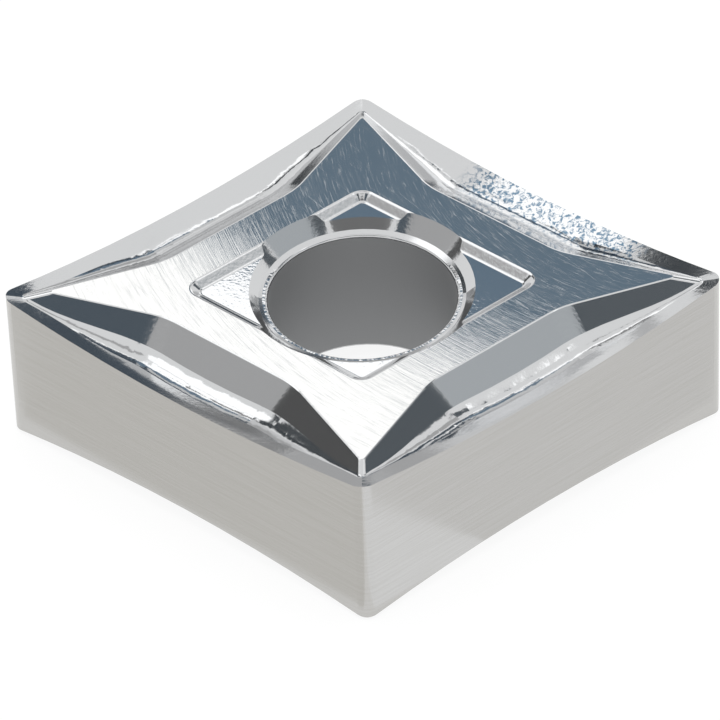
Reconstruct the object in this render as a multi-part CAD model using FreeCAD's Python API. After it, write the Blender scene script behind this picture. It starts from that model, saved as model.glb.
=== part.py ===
"""Rhombic carbide turning insert with moulded chip grooves on both faces.

The insert is one sintered and ground piece. It is symmetric about its middle
plane and about both diagonals, so one eighth of it is shaped and mirrored.
At the end it is raised so that the lower land, which rests in the holder,
lies at z = 0. The bore runs along Z and the long diagonal along X.
"""
import FreeCAD
import Part
import math
import os

Vector = FreeCAD.Vector
CENTRE = Vector(0.0, 0.0, 0.0)

# Plan form of the blank
INSCRIBED_CIRCLE = 12.7
ACUTE_CORNER = 80.0
NOSE_RADIUS = 0.4

# Thickness from the seat land to the opposite cutting corner
SEAT_TO_CORNER = 4.76
LAND_ABOVE_CORNER = 0.08

# Cutting edge, an arc that dips between two corners, and the chip groove
EDGE_SAG = 0.46
RAKE_SLOPE_MIDDLE = 0.285
RAKE_SLOPE_CORNER = 0.06
GROOVE_RADIUS_MIDDLE = 0.8
GROOVE_RADIUS_CORNER = 0.1
GROOVE_TAPER_LENGTH = 3.8

# Raised land in the middle of the face and the walls up to it
LAND_INSET = 2.02
BEND_FROM_ACUTE = 4.25
BEND_FROM_OBTUSE = 4.08
BEND_ANGLE = 20.0
BEND_RADIUS = 3.6
WALL_SLOPE = 36.5
RIDGE_RADIUS = 0.2
LAND_EDGE_RADIUS = 0.08

# Rhombic pocket in the land round the bore
POCKET_SIDE_DISTANCE = 3.13
POCKET_CORNER_RADIUS = 0.42
POCKET_DEPTH = 0.18
POCKET_WALL_SLOPE = 36.0
POCKET_EDGE_RADIUS = 0.14

# Bore for the clamping pin, the ledge round it and the funnel above the ledge
BORE_DIAMETER = 5.16
BORE_EDGE_RADIUS = 0.08
LEDGE_DIAMETER = 5.64
LEDGE_SLOPE = 10.0
FUNNEL_DIAMETER = 6.54
FUNNEL_SLOPE = 42.0

# Sizes that follow from those above
HALF_ACUTE = math.radians(ACUTE_CORNER / 2.0)
FLANK_NORMAL = 90.0 - ACUTE_CORNER / 2.0
HALF_HEIGHT = (SEAT_TO_CORNER + LAND_ABOVE_CORNER) / 2.0
CORNER_HEIGHT = HALF_HEIGHT - LAND_ABOVE_CORNER
FLANK_DISTANCE = INSCRIBED_CIRCLE / 2.0
SIDE_LENGTH = INSCRIBED_CIRCLE / math.sin(2.0 * HALF_ACUTE)
HALF_DIAGONAL = FLANK_DISTANCE / math.sin(HALF_ACUTE)
NOSE_DEPTH = NOSE_RADIUS * (1.0 - math.sin(HALF_ACUTE))

# How far cutting shapes run past the faces that they trim
CLEAR = 0.5

# Distance below which two places count as one
TOUCH = 0.001


def direction(degrees):
    """Give the unit vector in the plan at an angle from X."""
    angle = math.radians(degrees)
    return Vector(math.cos(angle), math.sin(angle), 0.0)


def lifted(point, z):
    """Give a plan point at height z."""
    return Vector(point.x, point.y, z)


def beside_flank(along, inward):
    """Give a plan point from its place beside the flank of the first quadrant.

    along runs from the sharp acute corner to the obtuse one and inward is the
    distance from the flank.
    """
    corner = Vector(HALF_DIAGONAL, 0.0, 0.0)
    return corner + direction(FLANK_NORMAL + 90.0) * along - direction(FLANK_NORMAL) * inward


def inside_flank(point):
    """Give the distance of a point inward from the flank of the first quadrant."""
    return FLANK_DISTANCE - point.dot(direction(FLANK_NORMAL))


def from_nearer_corner(point):
    """Give the distance of a point along the flank from the nearer sharp corner."""
    along = (point - Vector(HALF_DIAGONAL, 0.0, 0.0)).dot(direction(FLANK_NORMAL + 90.0))
    return min(along, SIDE_LENGTH - along)


def arc(centre, radius, start_angle, end_angle, z):
    """Draw an arc in the plan about a centre, at height z."""
    angles = (start_angle, (start_angle + end_angle) / 2.0, end_angle)
    return Part.Arc(*[lifted(centre + direction(a) * radius, z) for a in angles]).toShape()


def rounded_rhomb(side_distance, radius, z):
    """Draw a quadrant of a rhomb that has the corner angles of the insert."""
    acute_centre = Vector((side_distance - radius) / math.sin(HALF_ACUTE), 0.0, 0.0)
    obtuse_centre = Vector(0.0, (side_distance - radius) / math.cos(HALF_ACUTE), 0.0)
    acute = arc(acute_centre, radius, 0.0, FLANK_NORMAL, z)
    obtuse = arc(obtuse_centre, radius, FLANK_NORMAL, 90.0, z)
    middle = lifted(CENTRE, z)
    edges = [
        acute,
        Part.makeLine(acute.Vertexes[1].Point, obtuse.Vertexes[0].Point),
        obtuse,
        Part.makeLine(obtuse.Vertexes[1].Point, middle),
        Part.makeLine(middle, acute.Vertexes[0].Point),
    ]
    return Part.Wire(edges)


def quadrant():
    """Make a box over the first quadrant that is higher than the insert."""
    return Part.makeBox(2.0 * HALF_DIAGONAL, 2.0 * HALF_DIAGONAL, 2.0 * HALF_HEIGHT)


def blank():
    """Make an eighth of the plain blank above the middle plane."""
    face = Part.Face(rounded_rhomb(FLANK_DISTANCE, NOSE_RADIUS, 0.0))
    return face.extrude(Vector(0.0, 0.0, HALF_HEIGHT))


def rake_height(along, inward):
    """Give the height of the rake face above the middle plane."""
    sag = EDGE_SAG + (RAKE_SLOPE_MIDDLE - RAKE_SLOPE_CORNER) * inward
    corner_height = CORNER_HEIGHT - RAKE_SLOPE_CORNER * inward
    half_side = SIDE_LENGTH / 2.0
    arc_radius = (half_side ** 2 + sag ** 2) / (2.0 * sag)
    return corner_height - sag + arc_radius - math.sqrt(arc_radius ** 2 - (along - half_side) ** 2)


def rake_section(inward):
    """Draw the section of the space above the rake face, parallel to the flank."""
    places = (-CLEAR, SIDE_LENGTH / 2.0, SIDE_LENGTH + CLEAR)
    low = [lifted(beside_flank(along, inward), rake_height(along, inward)) for along in places]
    start = lifted(low[0], HALF_HEIGHT + CLEAR)
    end = lifted(low[2], HALF_HEIGHT + CLEAR)
    edges = [
        Part.Arc(*low).toShape(),
        Part.makeLine(low[2], end),
        Part.makeLine(end, start),
        Part.makeLine(start, low[0]),
    ]
    return Part.Wire(edges)


def below_rake():
    """Make the blank with the rake face carried in under the land."""
    above_rake = Part.makeLoft([rake_section(-CLEAR), rake_section(2.0 * LAND_INSET)], True, True)
    return blank().cut(above_rake.common(quadrant()))


def sloping_block(normal_angle, distance):
    """Make a block under the land whose one wall slopes down and outward."""
    outward = direction(normal_angle)
    beside = direction(normal_angle + 90.0)
    reach = 2.0 * HALF_DIAGONAL
    spread = HALF_HEIGHT / math.tan(math.radians(WALL_SLOPE))
    start = outward * (distance - reach) - beside * reach
    corners = [
        start,
        lifted(start, HALF_HEIGHT),
        lifted(start + outward * reach, HALF_HEIGHT),
        start + outward * (reach + spread),
        start,
    ]
    return Part.Face(Part.makePolygon(corners)).extrude(beside * (2.0 * reach))


def land_block():
    """Make a quadrant of the raised block that carries the land.

    A middle wall lies along the flank. At a bend on each end of it the wall
    turns outward, to a tip on the X axis and to one on the Y axis.
    """
    toward_acute = FLANK_NORMAL + BEND_ANGLE
    toward_obtuse = FLANK_NORMAL - BEND_ANGLE
    acute_bend = beside_flank(BEND_FROM_ACUTE, LAND_INSET)
    obtuse_bend = beside_flank(SIDE_LENGTH - BEND_FROM_OBTUSE, LAND_INSET)
    block = sloping_block(FLANK_NORMAL, FLANK_DISTANCE - LAND_INSET)
    block = block.fuse(sloping_block(toward_acute, acute_bend.dot(direction(toward_acute))))
    block = block.fuse(sloping_block(toward_obtuse, obtuse_bend.dot(direction(toward_obtuse))))
    block = block.common(blank()).removeSplitter()
    return block.makeFillet(BEND_RADIUS, [edge for edge in block.Edges if is_bend(edge)])


def middle_of(edge):
    """Give the middle point of an edge."""
    return edge.valueAt((edge.FirstParameter + edge.LastParameter) / 2.0)


def on_diagonal(edge):
    """Tell whether an edge lies over one of the two diagonals."""
    middle = middle_of(edge)
    return min(abs(middle.x), abs(middle.y)) < TOUCH


def in_land(edge):
    """Tell whether an edge lies in the land, away from the diagonals."""
    level = all(abs(vertex.Z - HALF_HEIGHT) < TOUCH for vertex in edge.Vertexes)
    return level and not on_diagonal(edge)


def is_bend(edge):
    """Tell whether an edge runs down the walls of the land between two tips."""
    top = max(vertex.Z for vertex in edge.Vertexes)
    sloping = abs(top - HALF_HEIGHT) < TOUCH and not in_land(edge)
    return sloping and not on_diagonal(edge) and inside_flank(middle_of(edge)) > NOSE_DEPTH + TOUCH


def is_ridge(edge):
    """Tell whether an edge runs from a tip of the land down over a diagonal."""
    heights = sorted(vertex.Z for vertex in edge.Vertexes)
    sloping = heights[0] < HALF_HEIGHT - TOUCH < heights[-1]
    return sloping and on_diagonal(edge)


def is_groove_bottom(edge):
    """Tell whether the rake face meets a wall of the land in an edge."""
    points = [vertex.Point for vertex in edge.Vertexes]
    inside = all(inside_flank(point) > NOSE_DEPTH + TOUCH for point in points)
    below_land = all(TOUCH < point.z < HALF_HEIGHT - TOUCH for point in points)
    return inside and below_land and not on_diagonal(edge)


def groove_radius(point):
    """Give the radius of the groove bottom, which tapers toward the corners."""
    share = min(1.0, from_nearer_corner(point) / GROOVE_TAPER_LENGTH)
    return GROOVE_RADIUS_CORNER + (GROOVE_RADIUS_MIDDLE - GROOVE_RADIUS_CORNER) * share


def with_groove_bottoms(piece):
    """Round the bottoms of the grooves with a radius that changes along them."""
    sheet = FreeCAD.newDocument("groove_bottoms")
    sharp = sheet.addObject("Part::Feature", "sharp")
    sharp.Shape = piece
    rounded = sheet.addObject("Part::Fillet", "rounded")
    rounded.Base = sharp
    radii = []
    for number, edge in enumerate(piece.Edges, 1):
        if is_groove_bottom(edge):
            start = edge.valueAt(edge.FirstParameter)
            end = edge.valueAt(edge.LastParameter)
            radii.append((number, groove_radius(start), groove_radius(end)))
    rounded.Edges = radii
    sheet.recompute()
    return rounded.Shape.Solids[0]


def with_ridges(piece):
    """Round the ridges that run from the tips of the land to the corners."""
    upper = piece.fuse(piece.mirror(CENTRE, Vector(0.0, 1.0, 0.0))).removeSplitter()
    upper = upper.fuse(upper.mirror(CENTRE, Vector(1.0, 0.0, 0.0))).removeSplitter()
    upper = upper.makeFillet(RIDGE_RADIUS, [edge for edge in upper.Edges if is_ridge(edge)])
    return upper.common(quadrant()).removeSplitter()


def with_pocket(piece):
    """Sink the shallow rhombic pocket and round its rim and its floor edge."""
    inset = POCKET_DEPTH / math.tan(math.radians(POCKET_WALL_SLOPE))
    floor_height = HALF_HEIGHT - POCKET_DEPTH
    rim = rounded_rhomb(POCKET_SIDE_DISTANCE, POCKET_CORNER_RADIUS, HALF_HEIGHT)
    floor = rounded_rhomb(POCKET_SIDE_DISTANCE - inset, POCKET_CORNER_RADIUS - inset, floor_height)
    piece = piece.cut(Part.makeLoft([floor, rim], True, True))
    for outline in (rim, floor):
        piece = piece.makeFillet(POCKET_EDGE_RADIUS, edges_along(piece, outline))
    return piece


def edges_along(piece, outline):
    """Find the edges of a piece that follow an outline, save on the diagonals."""
    found = []
    for edge in piece.Edges:
        gap = outline.distToShape(Part.Vertex(middle_of(edge)))[0]
        if gap < TOUCH and not on_diagonal(edge):
            found.append(edge)
    return found


def bore_space():
    """Make a quarter of the bore with its rounded edge, ledge and funnel."""
    bore = BORE_DIAMETER / 2.0
    ledge = LEDGE_DIAMETER / 2.0
    mouth = FUNNEL_DIAMETER / 2.0
    ledge_slope = math.radians(LEDGE_SLOPE)
    funnel_slope = math.radians(FUNNEL_SLOPE)
    ledge_height = HALF_HEIGHT - (mouth - ledge) * math.tan(funnel_slope)
    edge_height = ledge_height - (ledge - bore) * math.tan(ledge_slope)
    half_turn = (math.pi / 2.0 - ledge_slope) / 2.0
    round_start = Vector(bore, 0.0, edge_height - BORE_EDGE_RADIUS * math.tan(half_turn))
    round_centre = round_start + Vector(BORE_EDGE_RADIUS, 0.0, 0.0)
    round_middle = round_centre + Vector(-math.cos(half_turn), 0.0, math.sin(half_turn)) * BORE_EDGE_RADIUS
    round_end = round_centre + Vector(-math.sin(ledge_slope), 0.0, math.cos(ledge_slope)) * BORE_EDGE_RADIUS
    top = HALF_HEIGHT + CLEAR
    corners = [
        round_end,
        Vector(ledge, 0.0, ledge_height),
        Vector(mouth + CLEAR / math.tan(funnel_slope), 0.0, top),
        Vector(0.0, 0.0, top),
        CENTRE,
        Vector(bore, 0.0, 0.0),
        round_start,
    ]
    edges = [Part.makeLine(start, end) for start, end in zip(corners, corners[1:])]
    edges.append(Part.Arc(round_start, round_middle, round_end).toShape())
    return Part.Face(Part.Wire(edges)).revolve(CENTRE, Vector(0.0, 0.0, 1.0), 90.0)


def eighth():
    """Shape one eighth of the insert."""
    piece = with_ridges(below_rake().fuse(land_block()).removeSplitter())
    piece = with_groove_bottoms(piece)
    piece = piece.makeFillet(LAND_EDGE_RADIUS, [edge for edge in piece.Edges if in_land(edge)])
    return with_pocket(piece).cut(bore_space())


def whole(piece):
    """Mirror an eighth about both diagonals and the middle plane."""
    for normal in (Vector(1.0, 0.0, 0.0), Vector(0.0, 1.0, 0.0), Vector(0.0, 0.0, 1.0)):
        piece = piece.fuse(piece.mirror(CENTRE, normal)).removeSplitter()
    return piece.translated(Vector(0.0, 0.0, HALF_HEIGHT))


def main():
    """Write the insert as one solid."""
    os.makedirs("parts", exist_ok=True)
    insert = whole(eighth())
    insert.Solids[0].exportStep("parts/insert_body.step")


main()
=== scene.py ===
"""Studio picture of a polished carbide turning insert on a white table.

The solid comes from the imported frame. The script gives its surfaces their
finishes, and sets up the table, the camera, and the lamps and cards that the
insert mirrors.
"""
import logging
import math
from dataclasses import dataclass
from enum import Enum
from typing import Any

import bpy
from mathutils import Matrix, Vector


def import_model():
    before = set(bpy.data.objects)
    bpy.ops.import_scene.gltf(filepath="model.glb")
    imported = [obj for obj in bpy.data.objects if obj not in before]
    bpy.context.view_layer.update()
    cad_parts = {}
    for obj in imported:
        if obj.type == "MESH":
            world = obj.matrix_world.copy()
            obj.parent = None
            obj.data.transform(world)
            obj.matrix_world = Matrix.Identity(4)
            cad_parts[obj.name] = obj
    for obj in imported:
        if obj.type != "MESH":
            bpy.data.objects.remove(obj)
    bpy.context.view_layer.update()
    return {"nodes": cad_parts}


LOG = logging.getLogger("insert_scene")

MM = 0.001
PHOTO_WIDTH_PX = 720

Corners = tuple[tuple[float, float], ...]
Triple = tuple[float, float, float]


class Region(Enum):
    """Kinds of surface on the insert, told apart by how they were made."""

    LAND = "ground land"
    FLANK = "ground flank"
    GROOVE = "polished groove"
    POCKET = "pocket floor"
    BORE = "bore wall"
    RIM = "rim of the bore"


class Tone(Enum):
    """How bright a card of the studio looks in a reflection, where 1 is the white table."""

    BLACK = 0.13
    INKY = 0.18
    DARK = 0.25
    DIM = 0.37
    GREY = 0.6
    HAZY = 0.7
    MILKY = 0.92
    BRIGHT = 1.6
    LAMP = 1.9


class Tint(Enum):
    """Colours of the cards, lamps and glowing patches of painted table light and shade."""

    WHITE = "#FFFFFF"
    PALE_BLUE = "#F2F8FC"
    SKY = "#C3E3FF"
    COOL = "#C7D3DD"
    COLD = "#B7CBDD"
    SLATE = "#B4CBE2"
    WARM_TABLE_GLOW = "#FFFEFB"
    COOL_TABLE_GLOW = "#FCFDFF"


def linear(hex_colour: str) -> tuple[float, float, float, float]:
    """Turn an sRGB hex colour into linear light.

    Args:
        hex_colour: Six hex digits after a hash sign.

    Returns:
        Linear red, green and blue, and an alpha of one.
    """
    parts = [int(hex_colour[start:start + 2], 16) / 255.0 for start in (1, 3, 5)]
    red, green, blue = [p / 12.92 if p <= 0.04045 else ((p + 0.055) / 1.055) ** 2.4 for p in parts]
    return (red, green, blue, 1.0)


def direction(azimuth: float, elevation: float) -> Vector:
    """Give a unit vector.

    Args:
        azimuth: Degrees from +Y toward +X.
        elevation: Degrees above the table.

    Returns:
        The unit vector.
    """
    turn = math.radians(azimuth)
    rise = math.radians(elevation)
    level = math.cos(rise)
    return Vector((math.sin(turn) * level, math.cos(turn) * level, math.sin(rise)))


def new_material(name: str) -> bpy.types.Material:
    """Make an empty node material."""
    material = bpy.data.materials.new(name)
    material.use_nodes = True
    material.node_tree.nodes.clear()
    return material


def add_node(
    tree: bpy.types.NodeTree, kind: str, settings: dict[Any, Any] | None = None
) -> bpy.types.Node:
    """Add a shader node.

    Args:
        tree: The tree that takes the node.
        kind: Blender's name for the node.
        settings: Properties of the node by name, and its inputs by name or
            number. An input is a value or another node's output.

    Returns:
        The new node.
    """
    node = tree.nodes.new(kind)
    for name, value in (settings or {}).items():
        if isinstance(value, bpy.types.NodeSocket):
            tree.links.new(value, node.inputs[name])
        elif isinstance(name, str) and hasattr(node, name):
            setattr(node, name, value)
        else:
            node.inputs[name].default_value = value
    return node


def calculated(
    tree: bpy.types.NodeTree, operation: str, *values: bpy.types.NodeSocket | float
) -> bpy.types.NodeSocket:
    """Calculate with sockets and numbers.

    Args:
        tree: The tree that takes the node.
        operation: Blender's name for what is done.
        values: What it is done to, in order.

    Returns:
        The result.
    """
    settings = {"operation": operation, **dict(enumerate(values))}
    return add_node(tree, "ShaderNodeMath", settings).outputs[0]


def ramp(
    tree: bpy.types.NodeTree,
    value: bpy.types.NodeSocket,
    start: float,
    end: float,
    result: tuple[float, float] = (0.0, 1.0),
) -> bpy.types.NodeSocket:
    """Pass evenly from one result to another while a value goes from start to end.

    Args:
        tree: The tree that takes the node.
        value: The value to follow.
        start: Where the first result ends.
        end: Where the second result begins.
        result: The first and the second result.

    Returns:
        The result for the value.
    """
    settings = {
        "From Min": start,
        "From Max": end,
        "To Min": result[0],
        "To Max": result[1],
        "Value": value,
    }
    return add_node(tree, "ShaderNodeMapRange", settings).outputs["Result"]


def grain(
    tree: bpy.types.NodeTree,
    place: bpy.types.NodeSocket,
    size: float = 1.0,
    detail: float = 2.0,
    roughness: float = 0.5,
    distortion: float = 0.0,
) -> bpy.types.NodeSocket:
    """Draw cloudy noise.

    Args:
        tree: The tree that takes the node.
        place: Where a point lies.
        size: The size of one cloud, in the unit of the place.
        detail: How many times finer clouds are added.
        roughness: How strong the finer clouds are.
        distortion: How far the clouds are warped.

    Returns:
        A value about one half.
    """
    settings = {
        "Scale": 1.0 / size,
        "Detail": detail,
        "Roughness": roughness,
        "Distortion": distortion,
        "Vector": place,
    }
    return add_node(tree, "ShaderNodeTexNoise", settings).outputs["Fac"]


def object_place(tree: bpy.types.NodeTree) -> bpy.types.NodeSocket:
    """Give where on the insert a point lies."""
    return add_node(tree, "ShaderNodeTexCoord").outputs["Object"]


def split(tree: bpy.types.NodeTree, place: bpy.types.NodeSocket) -> list[bpy.types.NodeSocket]:
    """Give the X, Y and Z of a place."""
    return list(add_node(tree, "ShaderNodeSeparateXYZ", {0: place}).outputs)


def stretched(
    tree: bpy.types.NodeTree,
    place: bpy.types.NodeSocket,
    turn_degrees: float = 0.0,
    scale_mm: Triple = (1.0 / MM, 1.0 / MM, 1.0 / MM),
) -> bpy.types.NodeSocket:
    """Turn a place about the upright axis, and measure it in units of its own.

    Args:
        tree: The tree that takes the node.
        place: Where on the insert a point lies.
        turn_degrees: How far the new axes are turned.
        scale_mm: The length of one unit along each new axis, a metre if not given.

    Returns:
        The place in the new axes.
    """
    settings = {
        "vector_type": "TEXTURE",
        "Rotation": (0.0, 0.0, math.radians(turn_degrees)),
        "Scale": [part * MM for part in scale_mm],
        "Vector": place,
    }
    return add_node(tree, "ShaderNodeMapping", settings).outputs["Vector"]


def unrolled(
    tree: bpy.types.NodeTree,
    place: bpy.types.NodeSocket,
    axis_mm: Triple,
    across_mm: float,
    turn_scale: float,
) -> bpy.types.NodeSocket:
    """Unroll circles round an upright axis into straight lines.

    Args:
        tree: The tree that takes the nodes.
        place: Where on the insert a point lies.
        axis_mm: A point on the axis.
        across_mm: The distance between circles that becomes one.
        turn_scale: What one radian along a circle becomes.

    Returns:
        The distance from the axis and the way along the circle.
    """
    from_axis = add_node(
        tree,
        "ShaderNodeVectorMath",
        {"operation": "SUBTRACT", 0: place, 1: [part * MM for part in axis_mm]},
    )
    aside, ahead, _ = split(tree, from_axis.outputs[0])
    in_plan = add_node(tree, "ShaderNodeCombineXYZ", {0: aside, 1: ahead})
    radius = add_node(
        tree, "ShaderNodeVectorMath", {"operation": "LENGTH", 0: in_plan.outputs[0]}
    )
    turn = calculated(tree, "ARCTAN2", ahead, aside)
    across = calculated(tree, "DIVIDE", radius.outputs["Value"], across_mm * MM)
    along = calculated(tree, "MULTIPLY", turn, turn_scale)
    return add_node(tree, "ShaderNodeCombineXYZ", {0: across, 1: along}).outputs[0]


def mixed(
    tree: bpy.types.NodeTree, share: bpy.types.NodeSocket, first: str, second: str
) -> bpy.types.NodeSocket:
    """Mix two sRGB hex colours.

    Args:
        tree: The tree that takes the node.
        share: How much of the second colour there is.
        first: The first colour.
        second: The second colour.

    Returns:
        The mixed colour.
    """
    settings = {"data_type": "RGBA", 0: share, 6: linear(first), 7: linear(second)}
    return add_node(tree, "ShaderNodeMix", settings).outputs[2]


def relief(
    tree: bpy.types.NodeTree, height: bpy.types.NodeSocket, height_mm: float
) -> bpy.types.NodeSocket:
    """Raise a surface a little where a value is high.

    Args:
        tree: The tree that takes the node.
        height: The value, from nothing to one.
        height_mm: How far a value of one raises the surface.

    Returns:
        The normal of the raised surface.
    """
    settings = {"Strength": 1.0, "Distance": height_mm * MM, "Height": height}
    return add_node(tree, "ShaderNodeBump", settings).outputs["Normal"]


def add_metal(tree: bpy.types.NodeTree, inputs: dict[str, Any]) -> None:
    """Finish a material as bare metal.

    Args:
        tree: The tree of the material.
        inputs: Colour, roughness and normal, as values or sockets.
    """
    metal = add_node(tree, "ShaderNodeBsdfPrincipled", {"Metallic": 1.0, **inputs})
    add_node(tree, "ShaderNodeOutputMaterial", {"Surface": metal.outputs["BSDF"]})


@dataclass(frozen=True)
class GroundLand:
    """Cemented carbide, flat ground on a fine diamond cup wheel.

    The wheel leaves a near mirror with fine lay lines in arcs round the place
    of its axis, so that the edge of a reflection breaks up into streaks along
    the lay. Short flecks between the lines are a little duller, and a few
    scratches cross the arcs.
    """

    colour: str = "#C3C3C2"
    wheel_axis_mm: Triple = (10.6, 6.8, 0.0)
    line_width_mm: float = 0.04
    line_length_mm: float = 3.0
    line_height_mm: float = 0.0003
    line_depths: tuple[float, float] = (0.4, 0.8)
    roughness_range: tuple[float, float] = (0.015, 0.1)
    scratch_degrees: float = -52.0
    scratch_width_mm: float = 0.03
    scratch_length_mm: float = 2.2
    scratch_cut: tuple[float, float] = (0.69, 0.73)
    fleck_width_mm: float = 0.05
    fleck_length_mm: float = 0.7
    fleck_cut: tuple[float, float] = (0.52, 0.72)
    fleck_roughness: float = 0.07

    def along_lay(
        self,
        tree: bpy.types.NodeTree,
        place: bpy.types.NodeSocket,
        width_mm: float,
        length_mm: float,
    ) -> bpy.types.NodeSocket:
        """Measure a place across and along the arcs of the wheel.

        Args:
            tree: The tree that takes the nodes.
            place: Where on the insert a point lies.
            width_mm: The length of one unit across the arcs.
            length_mm: The length of one unit along them, at the bore.

        Returns:
            The place across and along the arcs.
        """
        reach_mm = math.hypot(self.wheel_axis_mm[0], self.wheel_axis_mm[1])
        return unrolled(tree, place, self.wheel_axis_mm, width_mm, reach_mm / length_mm)

    def lines(self, tree: bpy.types.NodeTree, place: bpy.types.NodeSocket) -> bpy.types.NodeSocket:
        """Draw the lay lines, even along an arc and changing across it."""
        way = self.along_lay(tree, place, self.line_width_mm, self.line_length_mm)
        return grain(tree, way, detail=4.0, roughness=0.6)

    def scratches(
        self, tree: bpy.types.NodeTree, place: bpy.types.NodeSocket
    ) -> bpy.types.NodeSocket:
        """Draw the sparse scratches, one inside a scratch and nothing beside it."""
        scale_mm = (self.scratch_length_mm, self.scratch_width_mm, self.scratch_width_mm)
        way = stretched(tree, place, self.scratch_degrees, scale_mm)
        return ramp(tree, grain(tree, way, detail=1.0, distortion=0.2), *self.scratch_cut)

    def flecks(self, tree: bpy.types.NodeTree, place: bpy.types.NodeSocket) -> bpy.types.NodeSocket:
        """Draw the dull flecks between the lines, as the roughness that they add."""
        way = self.along_lay(tree, place, self.fleck_width_mm, self.fleck_length_mm)
        return ramp(tree, grain(tree, way), *self.fleck_cut, (0.0, self.fleck_roughness))

    def material(self) -> bpy.types.Material:
        """Make the material."""
        material = new_material("ground_land")
        tree = material.node_tree
        place = object_place(tree)
        lines = self.lines(tree, place)
        scored = calculated(tree, "MAXIMUM", lines, self.scratches(tree, place))
        rough = ramp(tree, scored, *self.line_depths, self.roughness_range)
        inputs = {
            "Base Color": linear(self.colour),
            "Roughness": calculated(tree, "ADD", rough, self.flecks(tree, place)),
            "Normal": relief(tree, lines, self.line_height_mm),
        }
        add_metal(tree, inputs)
        return material


@dataclass(frozen=True)
class GroundFlank:
    """Cemented carbide, ground round the outline of the insert.

    A satin grey that blurs what it reflects, with faint lines along the sides.
    """

    colour: str = "#C3C2C0"
    line_colour: str = "#BEBDBA"
    roughness: float = 0.22
    line_width_mm: float = 0.035
    line_length_mm: float = 2.4
    line_depths: tuple[float, float] = (0.35, 0.65)

    def material(self) -> bpy.types.Material:
        """Make the material."""
        material = new_material("ground_flank")
        tree = material.node_tree
        scale_mm = (self.line_length_mm, self.line_length_mm, self.line_width_mm)
        way = stretched(tree, object_place(tree), scale_mm=scale_mm)
        share = ramp(tree, grain(tree, way, detail=3.0, roughness=0.6), *self.line_depths)
        inputs = {
            "Base Color": mixed(tree, share, self.line_colour, self.colour),
            "Roughness": self.roughness,
        }
        add_metal(tree, inputs)
        return material


@dataclass(frozen=True)
class PolishedGroove:
    """Cemented carbide as sintered in the mould and then polished.

    Bright as a mirror, with a slight orange peel that makes the edges of the
    reflections ragged.
    """

    colour: str = "#C3C4C5"
    roughness: float = 0.09
    grain_mm: float = 0.11
    grain_height_mm: float = 0.0013
    name: str = "polished_groove"

    def tone(
        self, tree: bpy.types.NodeTree, place: bpy.types.NodeSocket
    ) -> bpy.types.NodeSocket | tuple[float, float, float, float]:
        """Give the colour of the metal, here one for the whole surface."""
        return linear(self.colour)

    def height(self, tree: bpy.types.NodeTree, place: bpy.types.NodeSocket) -> bpy.types.NodeSocket:
        """Draw the orange peel."""
        return grain(tree, place, self.grain_mm * MM)

    def material(self) -> bpy.types.Material:
        """Make the material."""
        material = new_material(self.name)
        tree = material.node_tree
        place = object_place(tree)
        inputs = {
            "Base Color": self.tone(tree, place),
            "Roughness": self.roughness,
            "Normal": relief(tree, self.height(tree, place), self.grain_height_mm),
        }
        add_metal(tree, inputs)
        return material


@dataclass(frozen=True)
class PaintedReflectionGroove(PolishedGroove):
    """The polished groove, with painted reflection on a stretch of one rake face.

    There dark blue-grey ragged spots of painted reflection lie between bright
    metal. The side is given by the direction that its flank faces.
    """

    # Painted reflection: this dark blue-grey stands in for a dark reflection on the rake face.
    painted_reflection_colour: str = "#5C7284"
    spot_mm: float = 0.13
    spot_cut: tuple[float, float] = (0.47, 0.59)
    side_degrees: float = 50.0
    from_middle_mm: tuple[float, float] = (5.2, 5.6)
    lowest_mm: float = 2.4
    span_middle_mm: float = -1.9
    span_reach_mm: tuple[float, float] = (3.3, 2.7)

    def painted_reflection_stretch(self, tree: bpy.types.NodeTree, place: bpy.types.NodeSocket) -> bpy.types.NodeSocket:
        """Mark the stretch that carries the painted reflection.

        Args:
            tree: The tree that takes the nodes.
            place: Where on the insert a point lies.

        Returns:
            A value of one inside the stretch, fading to nothing outside it.
        """
        outward, along, up = split(tree, stretched(tree, place, self.side_degrees))
        shifted = calculated(tree, "SUBTRACT", along, self.span_middle_mm * MM)
        aside = calculated(tree, "ABSOLUTE", shifted)
        share = calculated(tree, "GREATER_THAN", up, self.lowest_mm * MM)
        for value, (start_mm, end_mm) in (
            (outward, self.from_middle_mm),
            (aside, self.span_reach_mm),
        ):
            limit = ramp(tree, value, start_mm * MM, end_mm * MM)
            share = calculated(tree, "MULTIPLY", share, limit)
        return share

    def tone(self, tree: bpy.types.NodeTree, place: bpy.types.NodeSocket) -> bpy.types.NodeSocket:
        """Paint the dark spots of reflection into the colour."""
        spots = grain(
            tree, place, self.spot_mm * MM, detail=2.5, roughness=0.6, distortion=0.6
        )
        # Painted reflection: dark spots, kept to the marked stretch of rake face.
        dark = ramp(tree, spots, *self.spot_cut)
        share = calculated(tree, "MULTIPLY", dark, self.painted_reflection_stretch(tree, place))
        return mixed(tree, share, self.colour, self.painted_reflection_colour)


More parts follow.
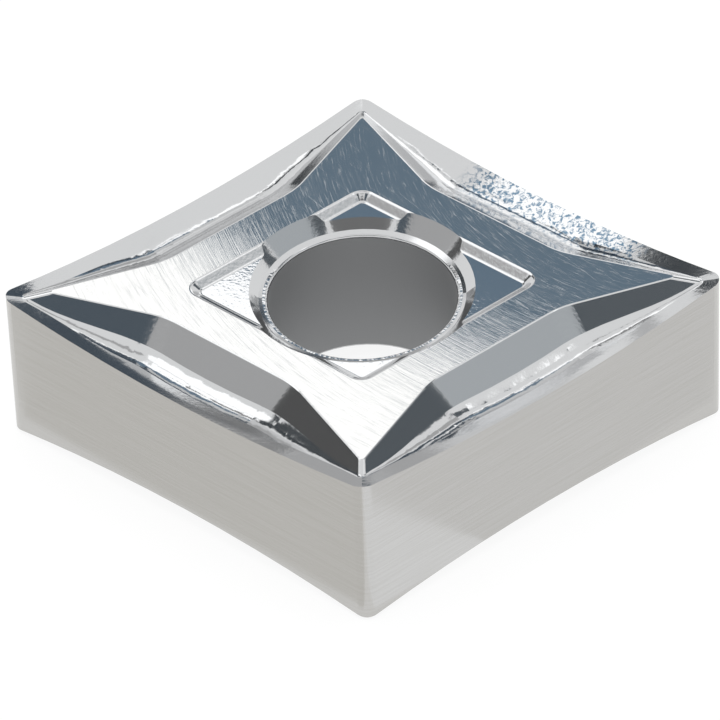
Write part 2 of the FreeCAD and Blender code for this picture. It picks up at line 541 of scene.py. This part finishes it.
@dataclass(frozen=True)
class NickedRim(PolishedGroove):
    """The rim of the bore, whose burr was brushed off and left fine nicks across it.

    They fade outward, and toward the far side, where the rim stayed smooth.
    """

    name: str = "nicked_rim"
    grain_height_mm: float = 0.03
    nick_mm: float = 0.11
    nick_length_mm: float = 0.5
    middle_radius_mm: float = 2.62
    faded_radius_mm: float = 2.72
    nicked_up_to_mm: float = 0.4
    smooth_from_mm: float = 1.3

    def height(self, tree: bpy.types.NodeTree, place: bpy.types.NodeSocket) -> bpy.types.NodeSocket:
        """Draw the nicks."""
        turn_scale = self.middle_radius_mm / self.nick_mm
        way = unrolled(tree, place, (0.0, 0.0, 0.0), self.nick_length_mm, turn_scale)
        height = grain(tree, way, detail=1.0)
        inner = ramp(
            tree,
            split(tree, way)[0],
            self.faded_radius_mm / self.nick_length_mm,
            self.middle_radius_mm / self.nick_length_mm,
        )
        near = ramp(
            tree, split(tree, place)[1], self.smooth_from_mm * MM, self.nicked_up_to_mm * MM
        )
        for share in (inner, near):
            height = calculated(tree, "MULTIPLY", height, share)
        return height


@dataclass
class Insert:
    """The insert, whose solid is dressed by the kind of each of its surfaces.

    A face lies flat where the upright part of its normal is above one limit,
    and stands upright where that part is below another.
    """

    solid: bpy.types.Object
    bore_radius_mm: float = 2.58
    rim_radius_mm: float = 2.83
    flat: float = 0.9999
    upright: float = 0.02
    slack_mm: float = 0.003

    def region_of(self, face: bpy.types.MeshPolygon, height: float) -> Region:
        """Tell the kind of surface that a face belongs to.

        Args:
            face: A face of the solid.
            height: The height of the whole insert in metres.

        Returns:
            The kind of surface.
        """
        slack = self.slack_mm * MM
        if abs(face.normal.z) > self.flat:
            in_land = min(face.center.z, height - face.center.z) < slack
            return Region.LAND if in_land else Region.POCKET
        from_axis = math.hypot(face.center.x, face.center.y)
        if abs(face.normal.z) < self.upright:
            in_bore = from_axis < self.bore_radius_mm * MM + slack
            return Region.BORE if in_bore else Region.FLANK
        in_rim = from_axis < self.rim_radius_mm * MM
        return Region.RIM if in_rim else Region.GROOVE

    def finishes(self) -> dict[Region, bpy.types.Material]:
        """Make the finish of each kind of surface."""
        pocket_floor = PolishedGroove(roughness=0.03, grain_height_mm=0.0006, name="pocket_floor")
        # Painted shade, in part: the darker grey is partly the duller colour of unpolished carbide
        # and partly painted shade of the deep bore, where little light reaches.
        dull_and_shaded_bore_wall = PolishedGroove("#A2A3A4", roughness=0.65, name="dull_and_shaded_bore_wall")
        return {
            Region.LAND: GroundLand().material(),
            Region.FLANK: GroundFlank().material(),
            # The groove finish paints a dark reflection in spots on one rake face.
            Region.GROOVE: PaintedReflectionGroove().material(),
            Region.RIM: NickedRim().material(),
            Region.POCKET: pocket_floor.material(),
            Region.BORE: dull_and_shaded_bore_wall.material(),
        }

    def dress(self) -> None:
        """Give each face the finish of its surface."""
        finishes = self.finishes()
        mesh = self.solid.data
        mesh.materials.clear()
        for finish in finishes.values():
            mesh.materials.append(finish)
        regions = list(finishes)
        height = max(vertex.co.z for vertex in mesh.vertices)
        for face in mesh.polygons:
            face.material_index = regions.index(self.region_of(face, height))


def glowing_panel(
    name: str, points: list[Vector], tint: Tint, strength: float
) -> bpy.types.Object:
    """Make an evenly bright panel that only reflections show.

    Args:
        name: Name of the panel.
        points: Its corners in metres.
        tint: Its colour.
        strength: How bright it is, where 1 is the white table.

    Returns:
        The panel.
    """
    mesh = bpy.data.meshes.new(name)
    mesh.from_pydata(points, [], [tuple(range(len(points)))])
    panel = bpy.data.objects.new(name, mesh)
    bpy.context.scene.collection.objects.link(panel)
    material = new_material(name)
    tree = material.node_tree
    light = {"Color": linear(tint.value), "Strength": strength}
    glow = add_node(tree, "ShaderNodeEmission", light)
    add_node(tree, "ShaderNodeOutputMaterial", {"Surface": glow.outputs["Emission"]})
    mesh.materials.append(material)
    panel.visible_camera = False
    panel.visible_diffuse = False
    panel.visible_shadow = False
    panel.visible_transmission = False
    return panel


@dataclass(frozen=True)
class Card:
    """A card or lamp panel that the insert mirrors, given by where its corners are seen.

    Each corner is an azimuth and an elevation in degrees, seen from one place
    of the insert. A near card is mirrored only close to that place.
    """

    name: str
    tone: Tone
    corners: Corners
    tint: Tint = Tint.WHITE
    distance_mm: float = 3000.0
    seen_from_mm: Triple = (0.0, 0.0, 0.0)

    def build(self) -> bpy.types.Object:
        """Put up the card, for reflections only."""
        start = Vector(self.seen_from_mm)
        points = [(start + direction(*corner) * self.distance_mm) * MM for corner in self.corners]
        return glowing_panel(self.name, points, self.tint, self.tone.value)


@dataclass(frozen=True)
class TableLightPatch:
    """A glowing patch on the table beside the insert, which the flanks mirror: painted shade where
    it is dimmer than the white table and painted light where it is brighter.

    Its corners are X and Y in millimetres.
    """

    name: str
    # How bright the patch glows, where 1 is the white table: below one it is painted shade, above
    # one painted light.
    shine: float
    corners_mm: Corners
    tint: Tint = Tint.WHITE
    height_mm: float = 0.02

    def build(self) -> bpy.types.Object:
        """Lay the patch down, for reflections only."""
        points = [Vector((x, y, self.height_mm)) * MM for x, y in self.corners_mm]
        return glowing_panel(self.name, points, self.tint, self.shine)


# What the flat land mirrors: a lamp on its left and near parts, a blue card on the rest.
LAND_CARDS = (
    Card(
        "land_lamp",
        Tone.LAMP,
        (
            (-6.8, 39.9), (-4.8, 38.75), (-3, 39.6), (0, 40.7), (1.6, 41.3), (3.5, 43), (-4, 50),
            (-13, 54.5), (-20, 58.5), (-24.5, 53), (-22, 49.5), (-16.5, 46.8), (-12, 46.5),
            (-6.8, 46.5),
        ),
    ),
    Card(
        "land_card",
        Tone.DIM,
        ((-4.8, 38.75), (-2, 33), (7, 33), (7, 40.8), (1.6, 41.3), (0, 40.7), (-3, 39.6)),
        Tint.SKY,
    ),
    Card(
        "lamp_gap",
        Tone.DIM,
        ((-6.8, 39.9), (-6.8, 46.5), (-12, 46.5), (-13, 44), (-11.5, 40.5)),
    ),
)

# What the rake faces, the bottoms of the grooves and the pocket mirror.
GROOVE_CARDS = (
    Card("side_lamp", Tone.LAMP, ((4, 45), (12, 44.5), (12, 47.4), (4, 47.4))),
    Card("right_low_card", Tone.GREY, ((18.5, 38), (34, 38), (34, 45.4), (27, 45.8), (18.5, 44.4))),
    Card("far_lamp", Tone.LAMP, ((14.5, 10), (26, 10), (26, 30), (14.5, 30))),
    Card(
        "rake_card",
        Tone.INKY,
        (
            (7, 40.8), (7, 29), (13.5, 29), (13.5, 38.5), (11.5, 41), (9.5, 44), (4, 44.3),
            (3.5, 43),
        ),
        Tint.SLATE,
    ),
    Card("low_right_card", Tone.DIM, ((1.5, 13.5), (10, 13.5), (9.5, 17.5), (7, 20), (2.2, 18.5))),
    Card(
        "low_middle_card",
        Tone.GREY,
        ((-8, 17), (-2, 15), (1.5, 15), (2.2, 18.5), (7, 20), (7, 26.5), (-8, 26.5)),
    ),
    Card(
        "middle_card",
        Tone.MILKY,
        (
            (-8, 26.5), (7, 26.5), (7, 33), (-2, 33), (-4.8, 38.75), (-8, 38.5), (-11, 34),
            (-12, 28),
        ),
    ),
    Card(
        "low_left_card",
        Tone.MILKY,
        ((1.5, 10), (1.5, 15), (-2, 15), (-8, 17), (-14, 17), (-14, 10)),
    ),
    Card(
        "left_card",
        Tone.BLACK,
        (
            (-12.5, 36.8), (-30, 35.5), (-66, 36), (-66, 42.5), (-32, 43), (-25, 46.5),
            (-21.5, 47.6), (-16.5, 44.5), (-11.5, 40),
        ),
        Tint.COOL,
    ),
    Card(
        "left_lamp",
        Tone.LAMP,
        (
            (-24.5, 49.5), (-32, 46.5), (-56, 45), (-65, 50), (-68, 60), (-62, 65), (-34, 63.5),
            (-27.5, 62.2), (-26, 58),
        ),
    ),
    Card("right_card", Tone.DARK, ((27, 46), (58, 45), (58, 56), (31, 57)), Tint.COOL),
    Card("right_lamp", Tone.LAMP, ((33, 60.5), (78, 59), (78, 62.5), (33, 63.5))),
    Card("top_card", Tone.GREY, ((-32, 67.5), (-8, 66), (8, 66.5), (8, 72), (-40, 73))),
)

# What the three slopes of each near wall of the land mirror, and the dark camera.
WALL_CARDS = (
    Card(
        "left_obtuse_card",
        Tone.BLACK,
        ((-60, 26), (-78, 26), (-80, 36), (-80, 42), (-66, 38), (-60, 36)),
    ),
    Card(
        "left_middle_card",
        Tone.GREY,
        (
            (-80, 30), (-135, 30), (-135, 48), (-112, 50), (-110.5, 57.5), (-100, 54),
            (-94, 50.5), (-80, 47),
        ),
    ),
    Card(
        "left_acute_card",
        Tone.DARK,
        ((-112, 50), (-135, 48), (-138, 67), (-110.5, 64), (-110.5, 57.5)),
        Tint.COLD,
    ),
    Card(
        "right_obtuse_card",
        Tone.DARK,
        ((56, 26), (76, 26), (80, 38), (80, 43), (68, 41), (56, 42.5)),
        Tint.COOL,
    ),
    Card(
        "right_middle_card",
        Tone.HAZY,
        (
            (80, 30), (135, 30), (135, 50), (119, 50), (118, 61.5), (108, 58.5), (98, 54.5),
            (90, 50.5), (80, 48.5),
        ),
        Tint.PALE_BLUE,
    ),
    Card(
        "right_acute_card",
        Tone.DARK,
        ((119, 50), (135, 50), (140, 67), (117, 66), (118, 61.5)),
        Tint.COOL,
    ),
    Card("camera_card", Tone.DARK, ((145, 46), (215, 46), (215, 66), (145, 66))),
)

# Cards so near the insert that only one groove or tip mirrors each of them.
NEAR_CARDS = (
    Card(
        "near_card",
        Tone.INKY,
        ((4.5, 29), (3.6, 26), (7.5, 15.5), (13, 15.5), (14, 29)),
        Tint.SLATE,
        distance_mm=80.0,
        seen_from_mm=(-5.5, -3.5, 4.5),
    ),
    Card(
        "tip_card",
        Tone.HAZY,
        ((-0.7, 24.3), (3.7, 24.3), (3.7, 20.5), (-0.7, 20.5)),
        distance_mm=40.0,
        seen_from_mm=(0.0, -8.0, 4.3),
    ),
    Card(
        "far_groove_card",
        Tone.BRIGHT,
        ((2.5, 33), (11, 33), (12, 10), (5, 10)),
        distance_mm=60.0,
        seen_from_mm=(3.5, 3.5, 4.5),
    ),
)

# Glowing patches on the table, each before a near flank or the near corner: painted shade beside
# the left and right flanks and painted light before the near corner.
TABLE_LIGHT_PATCHES = (
    TableLightPatch(
        "left_painted_shade",
        0.85,
        ((-10.2, -0.5), (-0.3, -8.6), (-0.3, -30), (-30, -0.5)),
        Tint.WARM_TABLE_GLOW,
    ),
    TableLightPatch("right_painted_shade", 0.93, ((3.6, -5.6), (10.2, -0.5), (30, -0.5), (12, -30))),
    TableLightPatch(
        "near_painted_light",
        1.12,
        ((0.6, -8.2), (3.6, -5.6), (12, -30), (0.6, -30)),
        Tint.COOL_TABLE_GLOW,
    ),
)


@dataclass
class Studio:
    """White table, pale room, lamps and cards."""

    table_size: float = 8.0
    table_colour: str = "#F4F4F4"
    shadow_share: float = 0.12
    room_strength: float = 1.15
    lamp_size: float = 0.5
    lamp_power: float = 1.0
    lamp_place: Triple = (0.0, 0.05, 0.5)

    def table(self) -> bpy.types.Object:
        """Make the white table, which keeps a faint shadow."""
        bpy.ops.mesh.primitive_plane_add(size=self.table_size)
        table = bpy.context.object
        table.name = "table"
        material = new_material("white_table")
        tree = material.node_tree
        path = add_node(tree, "ShaderNodeLightPath").outputs
        seen = calculated(tree, "MAXIMUM", path["Is Camera Ray"], path["Is Glossy Ray"])
        matt = add_node(tree, "ShaderNodeBsdfDiffuse", {"Color": linear(self.table_colour)})
        glow = {"Color": linear(Tint.WHITE.value), "Strength": 1.0}
        white = add_node(tree, "ShaderNodeEmission", glow)
        parts = {
            0: calculated(tree, "MULTIPLY", seen, 1.0 - self.shadow_share),
            1: matt.outputs["BSDF"],
            2: white.outputs["Emission"],
        }
        both = add_node(tree, "ShaderNodeMixShader", parts)
        add_node(tree, "ShaderNodeOutputMaterial", {"Surface": both.outputs["Shader"]})
        table.data.materials.append(material)
        return table

    def room(self) -> None:
        """Make the pale room, which is pure white where the camera sees it."""
        world = bpy.data.worlds.new("pale_room")
        world.use_nodes = True
        tree = world.node_tree
        tree.nodes.clear()
        seen = add_node(tree, "ShaderNodeLightPath").outputs["Is Camera Ray"]
        sky = {
            "Color": linear(Tint.WHITE.value),
            "Strength": ramp(tree, seen, 0.0, 1.0, (self.room_strength, 1.0)),
        }
        background = add_node(tree, "ShaderNodeBackground", sky).outputs["Background"]
        add_node(tree, "ShaderNodeOutputWorld", {"Surface": background})
        bpy.context.scene.world = world

    def overhead_lamp(self) -> bpy.types.Object:
        """Hang the soft lamp over the table."""
        light = bpy.data.lights.new("overhead_lamp", "AREA")
        light.shape = "SQUARE"
        light.size = self.lamp_size
        light.energy = self.lamp_power
        lamp = bpy.data.objects.new("overhead_lamp", light)
        lamp.location = self.lamp_place
        lamp.visible_glossy = False
        bpy.context.scene.collection.objects.link(lamp)
        return lamp

    def build(self) -> None:
        """Set up the whole studio."""
        self.table()
        self.room()
        self.overhead_lamp()
        for panel in (*LAND_CARDS, *GROOVE_CARDS, *WALL_CARDS, *NEAR_CARDS, *TABLE_LIGHT_PATCHES):
            panel.build()
            LOG.info("panel %s", panel.name)


@dataclass
class Camera:
    """The camera, at the place and with the lens that fit the photo's outline."""

    azimuth: float = 1.6057
    elevation: float = 40.4757
    roll: float = -2.4022
    distance_mm: float = 189.1877
    focal_px: float = 6730.67
    aim_mm: Triple = (-0.2532, 4.1174, -1.388)
    sensor_mm: float = 36.0
    clip: tuple[float, float] = (0.01, 10.0)

    def build(self) -> bpy.types.Object:
        """Make the camera and give it to the scene."""
        turn = math.radians(self.azimuth)
        rise = math.radians(self.elevation)
        tilt = math.radians(self.roll)
        level = math.cos(rise)
        back = Vector((math.sin(turn) * level, -math.cos(turn) * level, math.sin(rise)))
        right = Vector((math.cos(turn), math.sin(turn), 0.0))
        up = back.cross(right)
        rolled_right = right * math.cos(tilt) + up * math.sin(tilt)
        rolled_up = up * math.cos(tilt) - right * math.sin(tilt)
        axes = Matrix((rolled_right, rolled_up, back)).transposed().to_4x4()
        place = (Vector(self.aim_mm) + back * self.distance_mm) * MM
        data = bpy.data.cameras.new("camera")
        data.sensor_width = self.sensor_mm
        data.lens = self.focal_px / PHOTO_WIDTH_PX * self.sensor_mm
        data.clip_start, data.clip_end = self.clip
        camera = bpy.data.objects.new("camera", data)
        camera.matrix_world = Matrix.Translation(place) @ axes
        bpy.context.scene.collection.objects.link(camera)
        bpy.context.scene.camera = camera
        return camera


def main() -> None:
    """Build the insert, the studio and the camera, in that order."""
    logging.basicConfig(level=logging.INFO, format="%(message)s")
    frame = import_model()
    bpy.context.scene.view_settings.view_transform = "Standard"
    Insert(frame["nodes"]["insert_body"]).dress()
    LOG.info("insert dressed")
    Studio().build()
    Camera().build()
    LOG.info("studio and camera ready")


if __name__ == "__main__":
    main()
